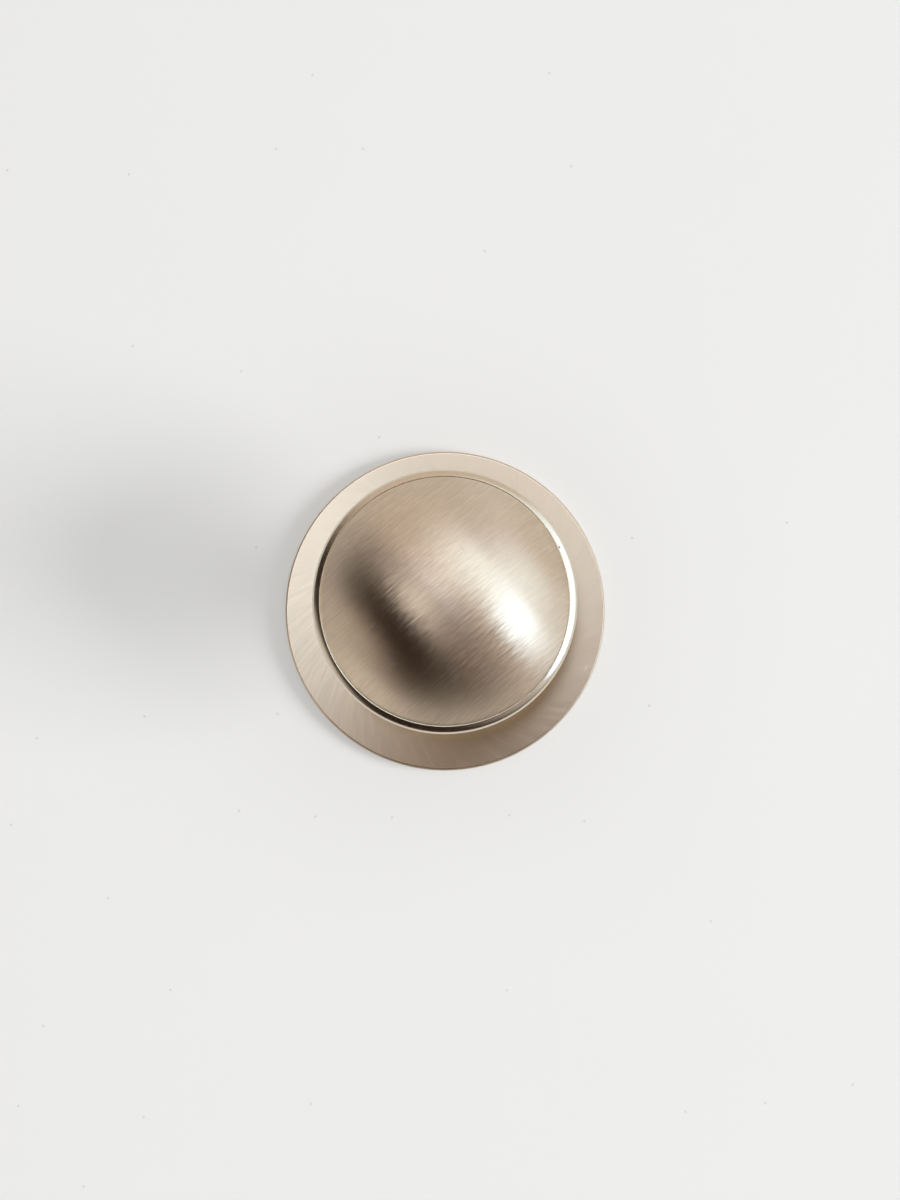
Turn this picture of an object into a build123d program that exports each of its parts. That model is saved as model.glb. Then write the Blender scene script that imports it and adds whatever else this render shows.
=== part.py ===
from build123d import *
import os
from math import cos, radians, sin, tan

# Round domed cabinet knob seated on a thin round backplate, in millimetres.
# The origin is the centre of the backplate's back face, which lies on the cabinet front.
# +Z points out of the cabinet, along the knob's axis.

# Backplate: a disc with its edges broken
plate_diameter = 40.0
plate_thickness = 1.5
plate_edge_break = 0.2
plate_back_break = 0.2

# Head: a dome, a narrow crease round it and a bevelled rim with a rounded edge
head_diameter = 32.0
rim_width = 0.85
rim_slope = 31.0  # degrees, falling towards the edge
rim_edge_radius = 0.45
crease_width = 0.16
crease_depth = 0.2
crease_height = 23.1  # above the cabinet front
dome_edge_slope = 60.0  # degrees, where the dome meets the crease
underside_slope = 10.0  # degrees, rising towards the rim

# Neck, which widens by the same taper to the head above and to the foot below
neck_diameter = 8.5
neck_taper_slope = 50.0  # degrees from the cabinet front
taper_top_diameter = 17.0  # where the taper meets the underside of the head
foot_diameter = 14.5
foot_edge_height = 1.2
foot_edge_break = 0.25

# Spigot that centres the knob in the backplate's hole
spigot_diameter = 8.0
spigot_clearance = 0.1  # all round, in the backplate's hole
spigot_setback = 0.2  # its end stays this far inside the backplate's back face
spigot_end_chamfer = 0.3

# Blind tapped hole for an M4 machine screw, at the tapping-drill size
screw_hole_diameter = 3.3
screw_hole_depth = 12.0
screw_hole_mouth = 4.2
drill_point_angle = 118.0


def nearest_corner(section, across, up):
    return section.vertices().sort_by_distance((across, up))[0]


# Backplate section, from the hole's wall out to the edge
plate_radius = plate_diameter / 2
plate_hole_radius = spigot_diameter / 2 + spigot_clearance
plate_section = make_face(
    Polyline(
        (plate_hole_radius, 0),
        (plate_radius, 0),
        (plate_radius, plate_thickness),
        (plate_hole_radius, plate_thickness),
        close=True,
    )
)
plate_section = chamfer(nearest_corner(plate_section, plate_radius, plate_thickness), plate_edge_break)
plate_section = chamfer(nearest_corner(plate_section, plate_radius, 0), plate_back_break)
backplate = revolve(Plane.XZ * plate_section, Axis.Z)

# Dome: a ball segment set by its edge and its slope there
head_radius = head_diameter / 2
rim_inner_radius = head_radius - rim_width
dome_edge = rim_inner_radius - crease_width
ball_radius = dome_edge / sin(radians(dome_edge_slope))
ball_centre = crease_height - ball_radius * cos(radians(dome_edge_slope))
half_slope = radians(dome_edge_slope) / 2
dome_top = (0, ball_centre + ball_radius)
dome_middle = (ball_radius * sin(half_slope), ball_centre + ball_radius * cos(half_slope))
dome_end = (dome_edge, crease_height)

# Crease and rim; the rim's rounded edge runs on smoothly into the underside
rim_lean = radians(rim_slope)
underside_lean = radians(underside_slope)
crease_bottom = (dome_edge + crease_width / 2, crease_height - crease_depth)
rim_top = (rim_inner_radius, crease_height)
edge_centre_across = head_radius - rim_edge_radius
bevel_end_across = edge_centre_across + rim_edge_radius * sin(rim_lean)
bevel_end = (bevel_end_across, crease_height - (bevel_end_across - rim_inner_radius) * tan(rim_lean))
edge_centre_up = bevel_end[1] - rim_edge_radius * cos(rim_lean)
rim_outside = (head_radius, edge_centre_up)
underside_edge = (
    edge_centre_across + rim_edge_radius * sin(underside_lean),
    edge_centre_up - rim_edge_radius * cos(underside_lean),
)

# Underside, neck and foot
neck_radius = neck_diameter / 2
taper_top_radius = taper_top_diameter / 2
foot_radius = foot_diameter / 2
underside_drop = (underside_edge[0] - taper_top_radius) * tan(underside_lean)
taper_rise = tan(radians(neck_taper_slope))
taper_top = (taper_top_radius, underside_edge[1] - underside_drop)
neck_top = (neck_radius, taper_top[1] - (taper_top_radius - neck_radius) * taper_rise)
foot_edge_top = (foot_radius, plate_thickness + foot_edge_height)
neck_bottom = (neck_radius, foot_edge_top[1] + (foot_radius - neck_radius) * taper_rise)

# Shoulder on the backplate, spigot and screw hole
spigot_radius = spigot_diameter / 2
hole_radius = screw_hole_diameter / 2
mouth_radius = screw_hole_mouth / 2
hole_top = spigot_setback + screw_hole_depth
drill_point_top = hole_top + hole_radius / tan(radians(drill_point_angle) / 2)

knob_section = make_face(
    [
        ThreePointArc(dome_top, dome_middle, dome_end),
        Line(dome_end, crease_bottom),
        Line(crease_bottom, rim_top),
        Line(rim_top, bevel_end),
        ThreePointArc(bevel_end, rim_outside, underside_edge),
        Polyline(
            underside_edge,
            taper_top,
            neck_top,
            neck_bottom,
            foot_edge_top,
            (foot_radius, plate_thickness),
            (spigot_radius, plate_thickness),
            (spigot_radius, spigot_setback),
            (mouth_radius, spigot_setback),
            (hole_radius, spigot_setback + mouth_radius - hole_radius),
            (hole_radius, hole_top),
            (0, drill_point_top),
            dome_top,
        ),
    ]
)
knob_section = chamfer(nearest_corner(knob_section, *foot_edge_top), foot_edge_break)
knob_section = chamfer(nearest_corner(knob_section, spigot_radius, spigot_setback), spigot_end_chamfer)
knob = revolve(Plane.XZ * knob_section, Axis.Z)

os.makedirs("parts", exist_ok=True)
export_step(knob, "parts/knob.step")
export_step(backplate, "parts/backplate.step")
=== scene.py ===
from collections import namedtuple
from math import atan2, cos, e as EULER, pi, radians, sin, tan

import bpy
from mathutils import Matrix, Vector


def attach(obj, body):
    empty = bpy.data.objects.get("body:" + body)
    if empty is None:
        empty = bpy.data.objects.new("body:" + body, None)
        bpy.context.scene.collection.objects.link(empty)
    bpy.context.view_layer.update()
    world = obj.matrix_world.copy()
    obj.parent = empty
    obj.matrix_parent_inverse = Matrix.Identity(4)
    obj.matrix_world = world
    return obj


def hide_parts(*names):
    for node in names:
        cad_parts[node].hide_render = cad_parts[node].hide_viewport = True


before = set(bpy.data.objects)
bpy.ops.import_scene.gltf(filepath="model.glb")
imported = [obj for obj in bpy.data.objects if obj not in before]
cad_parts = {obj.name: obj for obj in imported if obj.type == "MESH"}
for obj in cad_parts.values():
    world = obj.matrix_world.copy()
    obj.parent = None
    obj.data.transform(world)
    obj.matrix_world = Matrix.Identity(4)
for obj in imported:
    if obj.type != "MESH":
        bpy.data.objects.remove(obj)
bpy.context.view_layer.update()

MM = 0.001

# Sizes of the turned knob and its backplate in millimetres, as in the part's source
PLATE_RADIUS = 20.0
PLATE_THICKNESS = 1.5
PLATE_EDGE_BREAK = 0.2
PLATE_BACK_BREAK = 0.2
PLATE_HOLE_RADIUS = 4.1
HEAD_RADIUS = 16.0
RIM_WIDTH = 0.85
RIM_SLOPE = radians(31.0)
RIM_EDGE_RADIUS = 0.45
CREASE_WIDTH = 0.16
CREASE_DEPTH = 0.2
CREASE_HEIGHT = 23.1
DOME_EDGE_SLOPE = radians(60.0)
UNDERSIDE_SLOPE = radians(10.0)
NECK_RADIUS = 4.25
NECK_TAPER_SLOPE = radians(50.0)
TAPER_TOP_RADIUS = 8.5
FOOT_RADIUS = 7.25
FOOT_EDGE_HEIGHT = 1.2
FOOT_EDGE_BREAK = 0.25
SPIGOT_RADIUS = 4.0
SPIGOT_SETBACK = 0.2
SPIGOT_CHAMFER = 0.3
HOLE_DEPTH = 12.0
HOLE_MOUTH_RADIUS = 2.1
DRILL_POINT = radians(118.0)
THREAD_CREST_RADIUS = 1.65  # the plain bore of the part's source

RIM_INNER_RADIUS = HEAD_RADIUS - RIM_WIDTH
DOME_EDGE = RIM_INNER_RADIUS - CREASE_WIDTH
BALL_RADIUS = DOME_EDGE / sin(DOME_EDGE_SLOPE)
BALL_CENTRE = CREASE_HEIGHT - BALL_RADIUS * cos(DOME_EDGE_SLOPE)

# Small turns of the rim that the part's source leaves plain: a narrow land that fills most of
# the crease, a face that is slightly crowned, and an edge that is softer above than below
LAND_INNER_RADIUS = 15.02
LAND_OUTER_RADIUS = 15.135
LAND_TILT = radians(18.0)  # towards the dome
RIM_CROWN = radians(10.0)  # how much steeper the rim is at its edge
RIM_END_SLOPE = RIM_SLOPE + RIM_CROWN
RIM_EDGE_TOP_RADIUS = 0.75

# M4 thread, which the part's source leaves as a plain bore
THREAD_ROOT_RADIUS = 2.0
THREAD_PITCH = 0.7
THREAD_TURNS = 15.0
THREAD_START = 0.75  # above the spigot's end
RIDGE_HEIGHT = THREAD_ROOT_RADIUS - THREAD_CREST_RADIUS
RIDGE_SINK = 0.03  # how far the ridge's foot is let into the wall
RIDGE_FOOT_HALF = 0.31
RIDGE_CREST_HALF = 0.09

# How far the eased corners of the sections reach, in millimetres
SHARP = 0.0
DOME_CORNER = 0.01
LAND_CORNER = 0.008
TAPER_TOP_CORNER = 0.4
NECK_TOP_CORNER = 0.6
NECK_BOTTOM_CORNER = 0.4
FOOT_CORNER = 0.1
SMALL_CORNER = 0.05
PLATE_CORNER = 0.08
PLATE_FACE_CORNER = 0.04

# An eased corner takes at most this share of the sides beside it; the guard points lie a
# little farther out than its round
LARGEST_SHARE = 0.4
GUARD_REACH = 1.6

# Steps of the sections' arcs, of a turn and of one turn of the thread
CORNER_STEPS = 4
DOME_STEPS = 56
CROWN_STEPS = 4
EDGE_TOP_STEPS = 12
EDGE_UNDER_STEPS = 10
STEPS_AROUND = 288
THREAD_STEPS = 40

# The sections are carried round the axis on a small circle; merging then closes the poles
PATH_RADIUS = 1.0  # millimetres
MERGE_DISTANCE = 1e-7  # metres

# Limits of the zones with a finish of their own
ZONE_MARGIN = 0.05
WITHIN_AXIS = -1.0  # metres, so that the axis itself is taken in
BEYOND_EDGE = 1.0  # metres


# Sections of the turned pieces

def arc_points(centre, radius, start, end, steps):
    """Points on an arc; angles are turned from straight up towards the outside."""
    points = []
    for i in range(steps + 1):
        a = start + (end - start) * i / steps
        points.append((centre[0] + radius * sin(a), centre[1] + radius * cos(a)))
    return points


def sharp(points):
    return [(point, SHARP) for point in points]


def eased(corners):
    """The section's points, where each corner that has a reach is eased between two guard points."""
    places = [Vector(point) for point, reach in corners]
    out = []
    for i, (point, reach) in enumerate(corners):
        if reach == SHARP:
            out.append(point)
            continue
        here = places[i]
        before = places[i - 1] - here
        after = places[(i + 1) % len(places)] - here
        inward = before.normalized() * min(reach, LARGEST_SHARE * before.length)
        onward = after.normalized() * min(reach, LARGEST_SHARE * after.length)
        start = here + inward
        end = here + onward
        out.append(tuple(here + inward * GUARD_REACH))
        for k in range(CORNER_STEPS + 1):
            t = k / CORNER_STEPS
            out.append(tuple(start * (1 - t) ** 2 + here * 2 * t * (1 - t) + end * t ** 2))
        out.append(tuple(here + onward * GUARD_REACH))
    return out


def rim_edge_points():
    """The rim's rounded edge, from its crowned face to the underside."""
    half_above = (pi / 2 - RIM_SLOPE) / 2
    half_below = (pi / 2 - UNDERSIDE_SLOPE) / 2
    corner_up = CREASE_HEIGHT - RIM_WIDTH * tan(RIM_SLOPE)

    # The underside keeps the line that the part's own edge radius gives it
    edge_up = corner_up - RIM_EDGE_RADIUS * tan(half_above)
    end_across = HEAD_RADIUS - RIM_EDGE_RADIUS + RIM_EDGE_RADIUS * sin(UNDERSIDE_SLOPE)
    end_up = edge_up - RIM_EDGE_RADIUS * cos(UNDERSIDE_SLOPE)
    under_up = end_up + (HEAD_RADIUS - end_across) * tan(UNDERSIDE_SLOPE)

    widest_up = corner_up - RIM_EDGE_TOP_RADIUS * tan(half_above)
    under_radius = (widest_up - under_up) / tan(half_below)
    above_centre = (HEAD_RADIUS - RIM_EDGE_TOP_RADIUS, widest_up)
    below_centre = (HEAD_RADIUS - under_radius, widest_up)
    above = arc_points(above_centre, RIM_EDGE_TOP_RADIUS, RIM_END_SLOPE, pi / 2, EDGE_TOP_STEPS)
    below = arc_points(below_centre, under_radius, pi / 2, pi - UNDERSIDE_SLOPE, EDGE_UNDER_STEPS)
    return above[:-1] + below


def crown_points(start, end):
    """The rim's slightly crowned face, steepest where its rounded edge begins."""
    chord = Vector(end) - Vector(start)
    chord_slope = atan2(-chord.y, chord.x)
    start_slope = 2 * chord_slope - RIM_END_SLOPE
    radius = chord.length / (2 * sin(chord_slope - start_slope))
    centre = Vector(start) - radius * Vector((sin(start_slope), cos(start_slope)))
    return arc_points(centre, radius, start_slope, RIM_END_SLOPE, CROWN_STEPS)


def stem_corners(underside):
    """Underside, neck, foot, spigot and screw hole."""
    taper_rise = tan(NECK_TAPER_SLOPE)
    taper_top = underside[1] - (underside[0] - TAPER_TOP_RADIUS) * tan(UNDERSIDE_SLOPE)
    neck_top = taper_top - (TAPER_TOP_RADIUS - NECK_RADIUS) * taper_rise
    foot_top = PLATE_THICKNESS + FOOT_EDGE_HEIGHT
    neck_bottom = foot_top + (FOOT_RADIUS - NECK_RADIUS) * taper_rise
    break_across = FOOT_EDGE_BREAK * cos(NECK_TAPER_SLOPE)
    break_up = FOOT_EDGE_BREAK * sin(NECK_TAPER_SLOPE)
    hole_top = SPIGOT_SETBACK + HOLE_DEPTH
    hole_tip = hole_top + THREAD_CREST_RADIUS / tan(DRILL_POINT / 2)
    mouth_depth = HOLE_MOUTH_RADIUS - THREAD_ROOT_RADIUS
    return [
        (underside, SHARP),
        ((TAPER_TOP_RADIUS, taper_top), TAPER_TOP_CORNER),
        ((NECK_RADIUS, neck_top), NECK_TOP_CORNER),
        ((NECK_RADIUS, neck_bottom), NECK_BOTTOM_CORNER),
        ((FOOT_RADIUS - break_across, foot_top + break_up), FOOT_CORNER),
        ((FOOT_RADIUS, foot_top - FOOT_EDGE_BREAK), FOOT_CORNER),
        ((FOOT_RADIUS, PLATE_THICKNESS), SMALL_CORNER),
        ((SPIGOT_RADIUS, PLATE_THICKNESS), SMALL_CORNER),
        ((SPIGOT_RADIUS, SPIGOT_SETBACK + SPIGOT_CHAMFER), SMALL_CORNER),
        ((SPIGOT_RADIUS - SPIGOT_CHAMFER, SPIGOT_SETBACK), SMALL_CORNER),
        ((HOLE_MOUTH_RADIUS, SPIGOT_SETBACK), SMALL_CORNER),
        ((THREAD_ROOT_RADIUS, SPIGOT_SETBACK + mouth_depth), SMALL_CORNER),
        ((THREAD_ROOT_RADIUS, hole_top), SMALL_CORNER),
        ((THREAD_CREST_RADIUS, hole_top), SMALL_CORNER),
        ((0.0, hole_tip), SHARP),
    ]


def knob_section():
    """From the top of the dome round the rim and down the stem to the tip of the screw hole."""
    dome = arc_points((0, BALL_CENTRE), BALL_RADIUS, 0, DOME_EDGE_SLOPE, DOME_STEPS)
    crease = ((DOME_EDGE + LAND_INNER_RADIUS) / 2, CREASE_HEIGHT - CREASE_DEPTH)

    # The land's outer end lies on the line of the part's own bevel
    land_end_up = CREASE_HEIGHT - (LAND_OUTER_RADIUS - RIM_INNER_RADIUS) * tan(RIM_SLOPE)
    land_width = LAND_OUTER_RADIUS - LAND_INNER_RADIUS
    land_start = (LAND_INNER_RADIUS, land_end_up - land_width * tan(LAND_TILT))

    rim_edge = rim_edge_points()
    crown = crown_points((LAND_OUTER_RADIUS, land_end_up), rim_edge[0])
    head = sharp(dome[:-1])
    head.append((dome[-1], DOME_CORNER))
    head.append((crease, SHARP))
    head.append((land_start, LAND_CORNER))
    head.append((crown[0], LAND_CORNER))
    head += sharp(crown[1:-1] + rim_edge[:-1])
    return eased(head + stem_corners(rim_edge[-1]))


def plate_section():
    """Round the backplate, from the front of its hole to the back of it."""
    return eased(
        [
            ((PLATE_HOLE_RADIUS, PLATE_THICKNESS), PLATE_CORNER),
            ((PLATE_RADIUS - PLATE_EDGE_BREAK, PLATE_THICKNESS), PLATE_FACE_CORNER),
            ((PLATE_RADIUS, PLATE_THICKNESS - PLATE_EDGE_BREAK), PLATE_CORNER),
            ((PLATE_RADIUS, PLATE_BACK_BREAK), PLATE_CORNER),
            ((PLATE_RADIUS - PLATE_BACK_BREAK, 0.0), PLATE_CORNER),
            ((PLATE_HOLE_RADIUS, 0.0), PLATE_CORNER),
        ]
    )


def ridge_section():
    """The thread's ridge, across from the wall of the hole and up from its own middle."""
    return [
        (RIDGE_SINK, -RIDGE_FOOT_HALF),
        (-RIDGE_HEIGHT, -RIDGE_CREST_HALF),
        (-RIDGE_HEIGHT, RIDGE_CREST_HALF),
        (RIDGE_SINK, RIDGE_FOOT_HALF),
    ]


def section_object(name, points, path_radius, closed=False):
    """A line mesh of the section, set off from the path that carries it."""
    mesh = bpy.data.meshes.new(name)
    places = [((across - path_radius) * MM, -up * MM, 0.0) for across, up in points]
    count = len(places)
    edges = [(i, i + 1) for i in range(count - 1)]
    if closed:
        edges.append((count - 1, 0))
    mesh.from_pydata(places, edges, [])
    obj = bpy.data.objects.new(name, mesh)
    bpy.context.scene.collection.objects.link(obj)
    return obj


# Node trees that make the shapes

def new_tree(name, inputs):
    tree = bpy.data.node_groups.new(name, "GeometryNodeTree")
    tree.interface.new_socket("Geometry", in_out="INPUT", socket_type="NodeSocketGeometry")
    tree.interface.new_socket("Geometry", in_out="OUTPUT", socket_type="NodeSocketGeometry")
    for label, kind in inputs:
        tree.interface.new_socket(label, in_out="INPUT", socket_type=kind)
    start = tree.nodes.new("NodeGroupInput")
    end = tree.nodes.new("NodeGroupOutput")
    return tree, start, end


def apply_tree(obj, tree, values):
    """Runs the tree on the object and leaves a plain mesh, with no modifier."""
    modifier = obj.modifiers.new(tree.name, "NODES")
    modifier.node_group = tree
    for item in tree.interface.items_tree:
        if item.in_out == "INPUT" and item.name in values:
            modifier[item.identifier] = values[item.name]
    evaluated = obj.evaluated_get(bpy.context.evaluated_depsgraph_get())
    mesh = bpy.data.meshes.new_from_object(evaluated)
    section = obj.data
    obj.modifiers.clear()
    obj.data = mesh
    bpy.data.meshes.remove(section)
    mesh.name = obj.name


def lathe_tree(zones):
    """Turns a section about the axis; each zone is a ring with a finish of its own."""
    inputs = [
        ("Steps around", "NodeSocketInt"),
        ("Path radius", "NodeSocketFloat"),
        ("Finish", "NodeSocketMaterial"),
    ]
    for zone in zones:
        inputs += [
            (f"{zone} finish", "NodeSocketMaterial"),
            (f"{zone} inner radius", "NodeSocketFloat"),
            (f"{zone} outer radius", "NodeSocketFloat"),
            (f"{zone} lower height", "NodeSocketFloat"),
        ]
    tree, start, end = new_tree("turned_piece", inputs)
    node = tree.nodes.new
    link = tree.links.new

    section = node("GeometryNodeMeshToCurve")
    link(start.outputs["Geometry"], section.inputs["Mesh"])
    path = node("GeometryNodeCurvePrimitiveCircle")
    link(start.outputs["Steps around"], path.inputs["Resolution"])
    link(start.outputs["Path radius"], path.inputs["Radius"])
    turned = node("GeometryNodeCurveToMesh")
    link(path.outputs["Curve"], turned.inputs["Curve"])
    link(section.outputs["Curve"], turned.inputs["Profile Curve"])
    closed = node("GeometryNodeMergeByDistance")
    closed.inputs["Distance"].default_value = MERGE_DISTANCE
    link(turned.outputs["Mesh"], closed.inputs["Geometry"])
    smooth = node("GeometryNodeSetShadeSmooth")
    link(closed.outputs["Geometry"], smooth.inputs["Geometry"])
    whole = node("GeometryNodeRealizeInstances")
    link(smooth.outputs["Geometry"], whole.inputs["Geometry"])
    finished = node("GeometryNodeSetMaterial")
    link(whole.outputs["Geometry"], finished.inputs["Geometry"])
    link(start.outputs["Finish"], finished.inputs["Material"])

    place = node("GeometryNodeInputPosition")
    parts = node("ShaderNodeSeparateXYZ")
    link(place.outputs["Position"], parts.inputs["Vector"])
    flat = node("ShaderNodeCombineXYZ")
    link(parts.outputs["X"], flat.inputs["X"])
    link(parts.outputs["Y"], flat.inputs["Y"])
    across = node("ShaderNodeVectorMath")
    across.operation = "LENGTH"
    link(flat.outputs["Vector"], across.inputs[0])

    def test(operation, value, limit):
        compare = node("FunctionNodeCompare")
        compare.data_type = "FLOAT"
        compare.operation = operation
        link(value, compare.inputs["A"])
        link(limit, compare.inputs["B"])
        return compare.outputs["Result"]

    def both(a, b):
        join = node("FunctionNodeBooleanMath")
        join.operation = "AND"
        link(a, join.inputs[0])
        link(b, join.inputs[1])
        return join.outputs["Boolean"]

    for zone in zones:
        outside = test("GREATER_THAN", across.outputs["Value"], start.outputs[f"{zone} inner radius"])
        inside = test("LESS_THAN", across.outputs["Value"], start.outputs[f"{zone} outer radius"])
        above = test("GREATER_THAN", parts.outputs["Z"], start.outputs[f"{zone} lower height"])
        ring = node("GeometryNodeSetMaterial")
        link(finished.outputs["Geometry"], ring.inputs["Geometry"])
        link(both(both(outside, inside), above), ring.inputs["Selection"])
        link(start.outputs[f"{zone} finish"], ring.inputs["Material"])
        finished = ring
    link(finished.outputs["Geometry"], end.inputs["Geometry"])
    return tree


def thread_tree():
    """A right-hand ridge wound up the screw hole."""
    tree, start, end = new_tree(
        "screw_thread",
        [
            ("Pitch", "NodeSocketFloat"),
            ("Turns", "NodeSocketFloat"),
            ("Root radius", "NodeSocketFloat"),
            ("Start height", "NodeSocketFloat"),
            ("Finish", "NodeSocketMaterial"),
        ],
    )
    node = tree.nodes.new
    link = tree.links.new
    rise = node("ShaderNodeMath")
    rise.operation = "MULTIPLY"
    link(start.outputs["Pitch"], rise.inputs[0])
    link(start.outputs["Turns"], rise.inputs[1])
    coil = node("GeometryNodeCurveSpiral")
    coil.inputs["Resolution"].default_value = THREAD_STEPS
    coil.inputs["Reverse"].default_value = True
    link(start.outputs["Turns"], coil.inputs["Rotations"])
    link(start.outputs["Root radius"], coil.inputs["Start Radius"])
    link(start.outputs["Root radius"], coil.inputs["End Radius"])
    link(rise.outputs["Value"], coil.inputs["Height"])
    upright = node("GeometryNodeSetCurveNormal")
    upright.mode = "Z_UP"
    link(coil.outputs["Curve"], upright.inputs["Curve"])
    ridge = node("GeometryNodeMeshToCurve")
    link(start.outputs["Geometry"], ridge.inputs["Mesh"])
    wound = node("GeometryNodeCurveToMesh")
    wound.inputs["Fill Caps"].default_value = True
    link(upright.outputs["Curve"], wound.inputs["Curve"])
    link(ridge.outputs["Curve"], wound.inputs["Profile Curve"])
    lift = node("ShaderNodeCombineXYZ")
    link(start.outputs["Start height"], lift.inputs["Z"])
    placed = node("GeometryNodeTransform")
    link(wound.outputs["Mesh"], placed.inputs["Geometry"])
    link(lift.outputs["Vector"], placed.inputs["Translation"])
    whole = node("GeometryNodeRealizeInstances")
    link(placed.outputs["Geometry"], whole.inputs["Geometry"])
    finished = node("GeometryNodeSetMaterial")
    link(whole.outputs["Geometry"], finished.inputs["Geometry"])
    link(start.outputs["Finish"], finished.inputs["Material"])
    link(finished.outputs["Geometry"], end.inputs["Geometry"])
    return tree


# Finishes

NICKEL = (0.63, 0.505, 0.375)
POLISHED_NICKEL = (0.71, 0.63, 0.50)
TURNED_NICKEL = (0.58, 0.50, 0.41)

# Lay of the brushing, seen from the front, counter-clockwise
DOME_LAY = radians(39.0)
PLATE_SWIRL = radians(36.0)
PLATE_WAVER = radians(8.0)
PLATE_DEEP_SIDE = radians(238.0)  # where the brush bit deepest
PLATE_BITE = (0.3, 2.2)  # strength of the strokes, from the far side to the deep side
PLATE_STROKE_STRETCH = 0.12  # a smaller number draws the strokes out longer

# Brushed faces: contrast of the strokes, roughness, anisotropy and how far a stroke leans
Brushing = namedtuple("Brushing", "contrast roughness anisotropy lean")
DOME_BRUSHING = Brushing(contrast=0.18, roughness=(0.365, 0.39), anisotropy=0.838, lean=0.06)
PLATE_BRUSHING = Brushing(contrast=0.13, roughness=(0.125, 0.145), anisotropy=0.97, lean=0.0025)
FINE_STROKES = 0.6  # share of the fine strokes; the coarse ones have the rest
STROKE_RANGE = (0.35, 0.65)  # the noise that is spread out from dark to light
MIDDLE = 0.5

# Turned faces
TURNED_CONTRAST = 0.1
GRAIN = 0.1
RIM_GRAIN = 0.06
GRAIN_DEPTH = 0.00002  # metres

# Small marks of wear: place in millimetres, heading in degrees, half length, half width and shade
Mark = namedtuple("Mark", "x y heading half_length half_width shade")
DOME_SCRATCH = Mark(2.07, 5.82, -46.0, 0.62, 0.05, shade=0.72)
RIM_NICK = Mark(13.80, 6.50, 115.0, 0.22, 0.13, shade=0.35)
RIM_CHIP = Mark(-5.80, -14.25, 20.0, 0.16, 0.09, shade=1.5)
PLATE_SCRAPE = Mark(17.65, -7.2, 66.0, 0.55, 0.12, shade=1.15)
MARK_CORE = 0.2  # share of a mark, by its squared distance, that has its full shade

# Specks: how closely they are strewn, their size in the cells of the pattern, and shade
Specks = namedtuple("Specks", "scale size shade")
DOME_SPECKS = Specks(scale=0.9, size=0.05, shade=1.4)
PLATE_SPECKS = Specks(scale=0.6, size=0.05, shade=1.25)
FLOOR_DUST = Specks(scale=0.085, size=0.018, shade=0.75)
SPECK_CORE = 0.4  # share of a speck's size that has its full shade
SPECK_CHANCE = 0.6  # a cell of the pattern has a speck if its random value is above this


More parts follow.
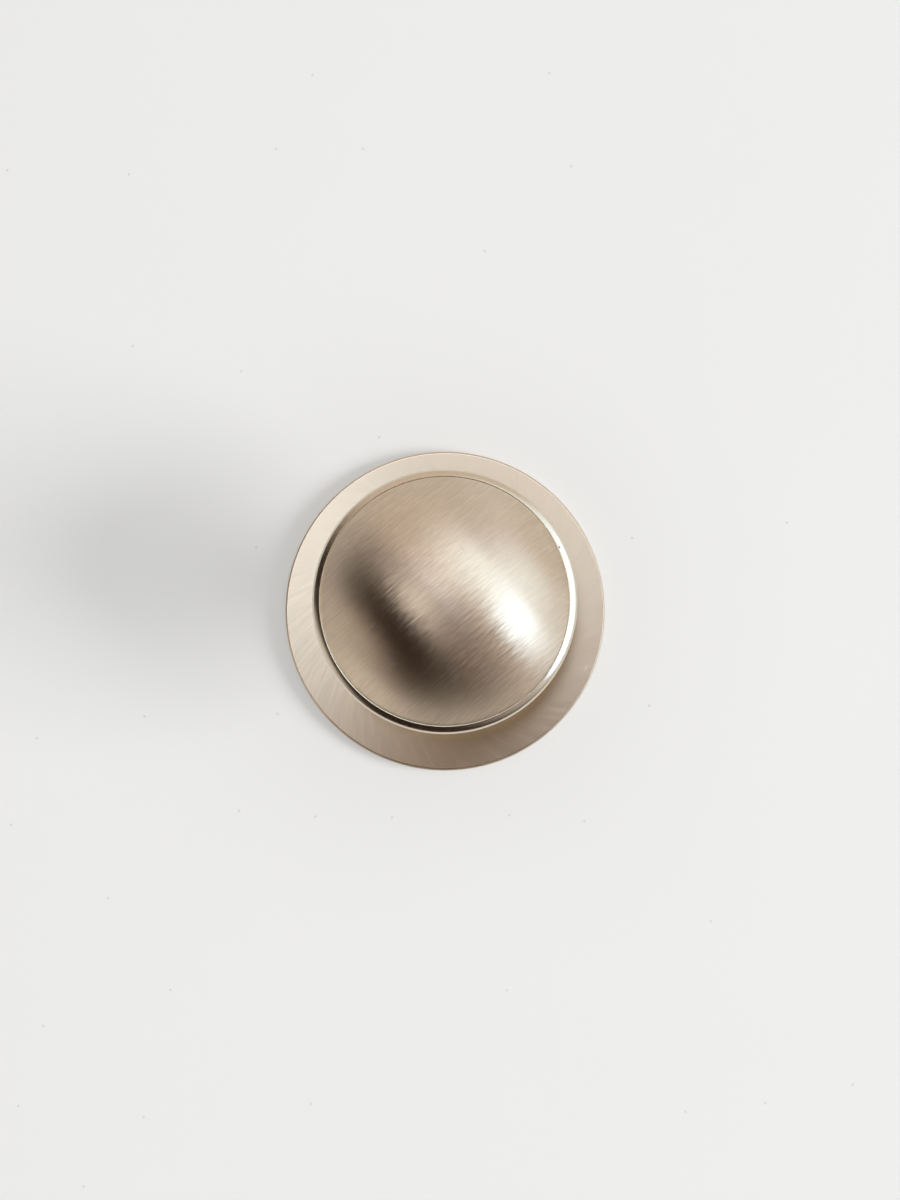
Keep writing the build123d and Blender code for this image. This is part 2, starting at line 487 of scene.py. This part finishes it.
class Finish:
    """A material with helpers for its node tree."""

    def __init__(self, name):
        self.material = bpy.data.materials.new(name)
        self.material.use_nodes = True
        self.tree = self.material.node_tree
        self.shader = self.tree.nodes["Principled BSDF"]

    def add(self, kind, **settings):
        made = self.tree.nodes.new(kind)
        for key, value in settings.items():
            setattr(made, key, value)
        return made

    def link(self, source, target):
        self.tree.links.new(source, target)

    def feed(self, made, values):
        """Numbers are set on the node's sockets, and other values are linked to them."""
        for slot, value in enumerate(values):
            if isinstance(value, (int, float)):
                made.inputs[slot].default_value = value
            else:
                self.link(value, made.inputs[slot])

    def math(self, operation, *values):
        made = self.add("ShaderNodeMath", operation=operation)
        self.feed(made, values)
        return made.outputs["Value"]

    def plus(self, a, b):
        return self.math("ADD", a, b)

    def minus(self, a, b):
        return self.math("SUBTRACT", a, b)

    def times(self, a, b):
        return self.math("MULTIPLY", a, b)

    def vector(self, operation, *values):
        made = self.add("ShaderNodeVectorMath", operation=operation)
        self.feed(made, values)
        return made.outputs["Vector"]

    def scaled(self, vector, factor):
        made = self.add("ShaderNodeVectorMath", operation="SCALE")
        self.link(vector, made.inputs[0])
        if isinstance(factor, float):
            made.inputs["Scale"].default_value = factor
        else:
            self.link(factor, made.inputs["Scale"])
        return made.outputs["Vector"]

    def combine(self, x, y, z):
        made = self.add("ShaderNodeCombineXYZ")
        self.feed(made, (x, y, z))
        return made.outputs["Vector"]

    def place(self):
        """Object coordinates in millimetres, split into x, y and z."""
        coordinates = self.add("ShaderNodeTexCoord").outputs["Object"]
        parts = self.add("ShaderNodeSeparateXYZ")
        self.link(self.scaled(coordinates, 1 / MM), parts.inputs["Vector"])
        return parts.outputs["X"], parts.outputs["Y"], parts.outputs["Z"]

    def noise(self, vector, scale, detail=2.0, roughness=0.5):
        made = self.add("ShaderNodeTexNoise")
        made.inputs["Scale"].default_value = scale
        made.inputs["Detail"].default_value = detail
        made.inputs["Roughness"].default_value = roughness
        self.link(vector, made.inputs["Vector"])
        return made.outputs["Fac"]

    def spread(self, value, low, high, from_low=0.3, from_high=0.7):
        """The value between from_low and from_high, spread out from low to high."""
        made = self.add("ShaderNodeMapRange")
        made.inputs["From Min"].default_value = from_low
        made.inputs["From Max"].default_value = from_high
        made.inputs["To Min"].default_value = low
        made.inputs["To Max"].default_value = high
        self.link(value, made.inputs["Value"])
        return made.outputs["Result"]

    def turned(self, x, y, heading):
        """Distances along and across a heading, seen from the front."""
        c, s = cos(heading), sin(heading)
        along = self.plus(self.times(x, c), self.times(y, s))
        across = self.minus(self.times(y, c), self.times(x, s))
        return along, across

    def streak(self, x, y, mark):
        """A soft mask, 1 in the middle of a short mark, and the mark's shade."""
        from_x = self.minus(x, mark.x)
        from_y = self.minus(y, mark.y)
        along, across = self.turned(from_x, from_y, radians(mark.heading))
        far_along = self.math("DIVIDE", along, mark.half_length)
        far_across = self.math("DIVIDE", across, mark.half_width)
        far = self.plus(self.times(far_along, far_along), self.times(far_across, far_across))
        return self.spread(far, 1.0, 0.0, MARK_CORE, 1.0), mark.shade

    def specks(self, x, y, kind):
        """A soft mask of sparse round specks, and their shade."""
        cells = self.add("ShaderNodeTexVoronoi", voronoi_dimensions="2D")
        cells.inputs["Scale"].default_value = kind.scale
        self.link(self.combine(x, y, 0.0), cells.inputs["Vector"])
        near = self.spread(cells.outputs["Distance"], 1.0, 0.0, SPECK_CORE * kind.size, kind.size)
        pick = self.math("GREATER_THAN", cells.outputs["Color"], SPECK_CHANCE)
        return self.times(near, pick), kind.shade

    def strokes(self, fine, coarse):
        """Fine and coarse strokes together, from 0 in the dark ones to 1 in the light ones."""
        together = self.plus(self.times(fine, FINE_STROKES), self.times(coarse, 1 - FINE_STROKES))
        return self.spread(together, 0.0, 1.0, *STROKE_RANGE)

    def bump(self, height, strength, distance):
        made = self.add("ShaderNodeBump")
        made.inputs["Strength"].default_value = strength
        made.inputs["Distance"].default_value = distance
        self.link(height, made.inputs["Height"])
        self.link(made.outputs["Normal"], self.shader.inputs["Normal"])

    def lean(self, strokes, lay, amount):
        """Tips the surface along the lay, a little differently in each hairline."""
        normal = self.add("ShaderNodeNewGeometry").outputs["Normal"]
        tip = self.scaled(lay, self.times(self.minus(strokes, MIDDLE), amount))
        leaning = self.vector("NORMALIZE", self.vector("ADD", normal, tip))
        self.link(leaning, self.shader.inputs["Normal"])
        self.link(self.vector("CROSS_PRODUCT", normal, lay), self.shader.inputs["Tangent"])

    def set(self, **values):
        for name, value in values.items():
            self.shader.inputs[name.replace("_", " ")].default_value = value


def shade(factor, colour):
    return (*(factor * c for c in colour), 1)


def coloured(f, strokes, contrast, marks=(), base=NICKEL):
    """Colour that is darker and lighter with the strokes; each mark is a mask and its shade."""
    mix = f.add("ShaderNodeMix", data_type="RGBA")
    f.link(strokes, mix.inputs["Factor"])
    mix.inputs["A"].default_value = shade(1.0 - contrast / 2, base)
    mix.inputs["B"].default_value = shade(1.0 + contrast / 2, base)
    colour = mix.outputs["Result"]
    for mask, factor in marks:
        over = f.add("ShaderNodeMix", data_type="RGBA")
        f.link(mask, over.inputs["Factor"])
        f.link(colour, over.inputs["A"])
        over.inputs["B"].default_value = shade(factor, base)
        colour = over.outputs["Result"]
    f.link(colour, f.shader.inputs["Base Color"])


def brushed(f, brushing, strokes, bands, lay, marks):
    """What both brushed finishes share: colour, roughness in bands, and the lean along the lay."""
    coloured(f, strokes, brushing.contrast, marks)
    f.link(f.spread(bands, *brushing.roughness), f.shader.inputs["Roughness"])
    f.lean(strokes, lay, brushing.lean)
    f.set(Metallic=1.0, Anisotropic=brushing.anisotropy)
    return f.material


def brushed_dome():
    """Straight hairlines in one direction, as from a belt."""
    f = Finish("brushed_dome")
    x, y, _ = f.place()
    along, across = f.turned(x, y, DOME_LAY)

    def drawn_out(stretch, layer):
        return f.combine(f.times(along, stretch), across, layer)

    hair = f.noise(drawn_out(stretch=0.05, layer=0.0), scale=3.8, roughness=0.6)
    short = f.noise(drawn_out(stretch=0.16, layer=7.0), scale=4.6, detail=1.0)
    bands = f.noise(drawn_out(stretch=0.1, layer=3.0), scale=0.8)
    lay = f.combine(cos(DOME_LAY), sin(DOME_LAY), 0.0)
    marks = [f.specks(x, y, DOME_SPECKS), f.streak(x, y, DOME_SCRATCH)]
    return brushed(f, DOME_BRUSHING, f.strokes(hair, short), bands, lay, marks)


def brushed_plate():
    """Hairlines that swirl outwards at a steady angle to the radius."""
    f = Finish("brushed_plate")
    x, y, _ = f.place()
    radius = f.math("SQRT", f.plus(f.times(x, x), f.times(y, y)))
    angle = f.math("ARCTAN2", y, x)
    curl = f.times(f.math("LOGARITHM", radius, EULER), tan(PLATE_SWIRL))
    heading = f.minus(angle, curl)
    ring = f.combine(
        f.times(f.math("COSINE", heading), PLATE_RADIUS),
        f.times(f.math("SINE", heading), PLATE_RADIUS),
        f.times(radius, PLATE_STROKE_STRETCH),
    )
    hair = f.noise(ring, scale=2.6, detail=3.0, roughness=0.6)
    bands = f.noise(ring, scale=1.1, roughness=0.6)
    towards = f.math("COSINE", f.minus(angle, PLATE_DEEP_SIDE))
    bite = f.spread(towards, *PLATE_BITE, from_low=0.1, from_high=1.0)
    strokes = f.math("MULTIPLY_ADD", f.minus(f.strokes(hair, bands), MIDDLE), bite, MIDDLE)

    # The lay is the radius turned by the swirl, which wavers a little from band to band
    least_swirl = PLATE_SWIRL - PLATE_WAVER / 2
    swirl = f.math("MULTIPLY_ADD", f.spread(bands, 0.0, 1.0), PLATE_WAVER, least_swirl)
    along = f.math("COSINE", swirl)
    around = f.math("SINE", swirl)
    lay = f.combine(
        f.minus(f.times(x, along), f.times(y, around)),
        f.plus(f.times(x, around), f.times(y, along)),
        0.0,
    )
    marks = [f.specks(x, y, PLATE_SPECKS), f.streak(x, y, PLATE_SCRAPE)]
    return brushed(f, PLATE_BRUSHING, strokes, bands, f.vector("NORMALIZE", lay), marks)


def turned_metal(name, roughness, grain=GRAIN, marks=(), metal=NICKEL):
    """Lathe-turned metal with no lay to see."""
    f = Finish(name)
    x, y, z = f.place()
    place = f.combine(x, y, z)
    cloud = f.noise(place, scale=1.3, detail=3.0)
    speckle = f.noise(place, scale=6.0, roughness=0.7)
    f.link(f.spread(cloud, *roughness), f.shader.inputs["Roughness"])
    masks = [f.streak(x, y, mark) for mark in marks]
    coloured(f, f.spread(speckle, 0.0, 1.0), TURNED_CONTRAST, masks, metal)
    f.bump(speckle, grain, GRAIN_DEPTH)
    f.set(Metallic=1.0)
    return f.material


rim_finish = turned_metal(
    "turned_rim",
    roughness=(0.22, 0.26),
    grain=RIM_GRAIN,
    marks=(RIM_NICK, RIM_CHIP),
    metal=POLISHED_NICKEL,
)
stem_finish = turned_metal("turned_stem", roughness=(0.28, 0.36), metal=TURNED_NICKEL)
edge_finish = turned_metal("turned_plate_edge", roughness=(0.38, 0.46))
thread_finish = turned_metal("cut_thread", roughness=(0.25, 0.35))


# The pieces

knob = section_object("knob_turned", knob_section(), PATH_RADIUS)
apply_tree(
    knob,
    lathe_tree(["Dome", "Rim"]),
    {
        "Steps around": STEPS_AROUND,
        "Path radius": PATH_RADIUS * MM,
        "Finish": stem_finish,
        "Dome finish": brushed_dome(),
        "Dome inner radius": WITHIN_AXIS,
        "Dome outer radius": DOME_EDGE * MM,
        "Dome lower height": (CREASE_HEIGHT - ZONE_MARGIN) * MM,
        "Rim finish": rim_finish,
        "Rim inner radius": DOME_EDGE * MM,
        "Rim outer radius": BEYOND_EDGE,
        "Rim lower height": (CREASE_HEIGHT - 2 * RIM_WIDTH) * MM,
    },
)
backplate = section_object("backplate_disc", plate_section(), PATH_RADIUS, closed=True)
apply_tree(
    backplate,
    lathe_tree(["Face"]),
    {
        "Steps around": STEPS_AROUND,
        "Path radius": PATH_RADIUS * MM,
        "Finish": edge_finish,
        "Face finish": brushed_plate(),
        "Face inner radius": 0.0,
        "Face outer radius": (PLATE_RADIUS - PLATE_EDGE_BREAK) * MM,
        "Face lower height": (PLATE_THICKNESS - ZONE_MARGIN) * MM,
    },
)
thread = section_object("screw_thread", ridge_section(), 0.0, closed=True)
apply_tree(
    thread,
    thread_tree(),
    {
        "Pitch": THREAD_PITCH * MM,
        "Turns": THREAD_TURNS,
        "Root radius": THREAD_ROOT_RADIUS * MM,
        "Start height": (SPIGOT_SETBACK + THREAD_START) * MM,
        "Finish": thread_finish,
    },
)

for piece, slot, node in (
    (knob, "knob_metal", "knob"),
    (backplate, "plate_metal", "backplate"),
    (thread, "knob_metal", None),
):
    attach(piece, "root")
    if node:
        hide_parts(node)


# Floor

# Its sides in metres, its own colour, and the share of plain pale that is seen on it
FLOOR_NEAR = -0.8
FLOOR_FAR = 1.5
FLOOR_DROP = 0.00002
FLOOR_COLOUR = (0.90, 0.895, 0.885)
FLOOR_CONTRAST = 0.008
FLOOR_ROUGHNESS = 0.9
FLOOR_SPECULAR = 0.2
FLOOR_PALE = (0.85, 0.85, 0.835, 1)
FLOOR_PALE_SHARE = 0.3


def pale_floor():
    """A matt floor with a faint cloud and sparse dust, partly a plain pale where it is seen."""
    f = Finish("pale_floor")
    x, y, _ = f.place()
    cloud = f.noise(f.combine(x, y, 0.0), scale=0.03)
    dust = f.specks(x, y, FLOOR_DUST)
    coloured(f, f.spread(cloud, 0.0, 1.0), FLOOR_CONTRAST, [dust], FLOOR_COLOUR)
    f.set(Roughness=FLOOR_ROUGHNESS, Specular_IOR_Level=FLOOR_SPECULAR)
    pale = f.add("ShaderNodeEmission")
    pale.inputs["Color"].default_value = FLOOR_PALE
    rays = f.add("ShaderNodeLightPath")
    seen = f.math("MAXIMUM", rays.outputs["Is Camera Ray"], rays.outputs["Is Glossy Ray"])
    seen = f.math("MAXIMUM", seen, rays.outputs["Is Transmission Ray"])
    blend = f.add("ShaderNodeMixShader")
    f.link(f.times(seen, FLOOR_PALE_SHARE), blend.inputs["Fac"])
    f.link(f.shader.outputs["BSDF"], blend.inputs[1])
    f.link(pale.outputs["Emission"], blend.inputs[2])
    f.link(blend.outputs["Shader"], f.tree.nodes["Material Output"].inputs["Surface"])
    return f.material


floor_corners = [
    (FLOOR_NEAR, FLOOR_NEAR, 0),
    (FLOOR_FAR, FLOOR_NEAR, 0),
    (FLOOR_FAR, FLOOR_FAR, 0),
    (FLOOR_NEAR, FLOOR_FAR, 0),
]
floor_mesh = bpy.data.meshes.new("floor")
floor_mesh.from_pydata(floor_corners, [], [(0, 1, 2, 3)])
floor_mesh.materials.append(pale_floor())
floor = bpy.data.objects.new("floor", floor_mesh)
bpy.context.scene.collection.objects.link(floor)
floor.location.z = -FLOOR_DROP


# Light and camera

UP = Vector((0, 0, 1))
TOP_OF_PICTURE = Vector((0, 1, 0))
WHITE = (1, 1, 1)
LAMP_TARGET = (0, 0, 0.015)
LAMP_DISTANCE = 2.0


def aim(obj, place, target, up):
    obj.location = place
    back = (Vector(place) - Vector(target)).normalized()
    right = Vector(up).cross(back).normalized()
    top = back.cross(right)
    obj.rotation_euler = Matrix((right, top, back)).transposed().to_euler()


def direction(azimuth, elevation):
    a, e = radians(azimuth), radians(elevation)
    return Vector((cos(a) * cos(e), sin(a) * cos(e), sin(e)))


def lamp(name, shape, size, radiance, colour, place, up):
    """An area lamp that faces the knob; its size is in metres."""
    data = bpy.data.lights.new(name, "AREA")
    data.shape = shape
    data.size, data.size_y = size
    area = size[0] * size[1] * (pi / 4 if shape == "ELLIPSE" else 1.0)
    data.energy = radiance * pi * area
    data.color = colour
    made = bpy.data.objects.new(name, data)
    bpy.context.scene.collection.objects.link(made)
    aim(made, place, LAMP_TARGET, up)
    return made


def lamp_size(half_widths):
    """Width and height of a lamp whose halves are seen under these angles."""
    return [2 * LAMP_DISTANCE * tan(half_width) for half_width in half_widths]


# Light that the metal mirrors and the floor doesn't take: a softbox, turned as seen from the knob
KEY_FACING = direction(-15.0, 27.8)
KEY_HALF_WIDTHS = (radians(12.4), radians(14.5))
KEY_TURN = radians(46.0)
KEY_RADIANCE = 3.05
KEY_COLOUR = (0.90, 1.37, 1.96)
key_size = lamp_size(KEY_HALF_WIDTHS)
key_place = KEY_FACING * LAMP_DISTANCE
key_level = UP.cross(KEY_FACING).normalized()
key_up = KEY_FACING.cross(key_level) * cos(KEY_TURN) - key_level * sin(KEY_TURN)
key = lamp("key_softbox", "ELLIPSE", key_size, KEY_RADIANCE, KEY_COLOUR, key_place, key_up)
key.visible_diffuse = False

# Light on the floor, which the metal doesn't mirror: a broad sky and the lamp that casts the shadow
SKY_SIZE = (6.0, 6.0)
SKY_PLACE = (0, 0, 2.2)
SKY_RADIANCE = 0.79
SHADOW_FACING = direction(-9.5, 27.5)
SHADOW_HALF_WIDTH = radians(13.5)
SHADOW_RADIANCE = 15.4
shadow_size = lamp_size((SHADOW_HALF_WIDTH, SHADOW_HALF_WIDTH))
shadow_place = SHADOW_FACING * LAMP_DISTANCE
sky_panel = lamp("sky_panel", "RECTANGLE", SKY_SIZE, SKY_RADIANCE, WHITE, SKY_PLACE, TOP_OF_PICTURE)
shadow_lamp = lamp("shadow_lamp", "ELLIPSE", shadow_size, SHADOW_RADIANCE, WHITE, shadow_place, UP)
for floor_light in (sky_panel, shadow_lamp):
    floor_light.visible_glossy = False

# The rest of what the metal mirrors: soft round panels in a dim room, each with the heading and
# height of its middle, half its width, the width of its soft edge (degrees) and its brightness
PANELS = [
    ("overhead_panel", 118.7, 76.3, 8.8, 4.7, (2.39, 2.90, 3.49)),
    ("window_side", 49.1, -5.0, 91.4, 16.1, (0.71, 0.61, 0.54)),
    ("window_high", 61.5, 56.5, 20.2, 2.0, (1.05, 1.47, 1.83)),
    ("window_glow", 17.8, 22.4, 22.0, 20.0, (0.95, 1.45, 1.96)),
    ("low_glow", 202.9, 3.9, 20.0, 12.0, (0.78, 0.73, 0.70)),
    ("top_panel", 180.6, 66.6, 12.0, 4.3, (2.76, 2.80, 2.92)),
    ("fill_panel", 307.4, 31.1, 13.0, 13.0, (0.45, 0.40, 0.38)),
    ("ceiling_back", 122.0, 51.0, 12.0, 8.0, (0.34, 0.36, 0.45)),
    ("ceiling_front", 282.0, 57.0, 11.0, 7.0, (0.26, 0.18, 0.15)),
]
ROOM = (0.022, 0.009, 0.003)

world = bpy.data.worlds.new("studio")
bpy.context.scene.world = world
world.use_nodes = True
world.cycles_visibility.diffuse = False
studio = world.node_tree
heading = studio.nodes.new("ShaderNodeTexCoord")
total = None
for label, azimuth, elevation, half_width, soft_edge, brightness in PANELS:
    facing = studio.nodes.new("ShaderNodeVectorMath")
    facing.operation = "DOT_PRODUCT"
    facing.inputs[1].default_value = direction(azimuth, elevation)
    studio.links.new(heading.outputs["Generated"], facing.inputs[0])
    angle = studio.nodes.new("ShaderNodeMath")
    angle.operation = "ARCCOSINE"
    studio.links.new(facing.outputs["Value"], angle.inputs[0])
    share = studio.nodes.new("ShaderNodeMapRange")
    share.name = label
    share.interpolation_type = "SMOOTHSTEP"
    share.inputs["From Min"].default_value = radians(half_width - soft_edge)
    share.inputs["From Max"].default_value = radians(half_width + soft_edge)
    share.inputs["To Min"].default_value = 1.0
    share.inputs["To Max"].default_value = 0.0
    studio.links.new(angle.outputs["Value"], share.inputs["Value"])
    lit = studio.nodes.new("ShaderNodeVectorMath")
    lit.operation = "MULTIPLY_ADD"
    lit.inputs[1].default_value = brightness
    lit.inputs[2].default_value = ROOM
    studio.links.new(share.outputs["Result"], lit.inputs[0])
    if total is not None:
        studio.links.new(total, lit.inputs[2])
    total = lit.outputs["Vector"]
studio.links.new(total, studio.nodes["Background"].inputs["Color"])

# Camera, almost straight in front of the knob; lengths in metres
PICTURE_HEIGHT_PX = 1200
FOCAL_PX = 4397.0
SENSOR_MM = 36.0
CAMERA_DISTANCE = 0.5513
CAMERA_TILT = 3.24  # degrees, towards the bottom of the picture
CAMERA_TARGET = Vector((0.00062, 0.00136, 0.0012))
CLIP_START = 0.01
camera_data = bpy.data.cameras.new("camera")
camera_data.sensor_width = SENSOR_MM
camera_data.lens = FOCAL_PX * SENSOR_MM / PICTURE_HEIGHT_PX
camera_data.clip_start = CLIP_START
camera = bpy.data.objects.new("camera", camera_data)
bpy.context.scene.collection.objects.link(camera)
camera_place = CAMERA_TARGET + direction(-90.0, 90.0 - CAMERA_TILT) * CAMERA_DISTANCE
aim(camera, camera_place, CAMERA_TARGET, TOP_OF_PICTURE)
bpy.context.scene.camera = camera
bpy.context.scene.view_settings.view_transform = "Standard"
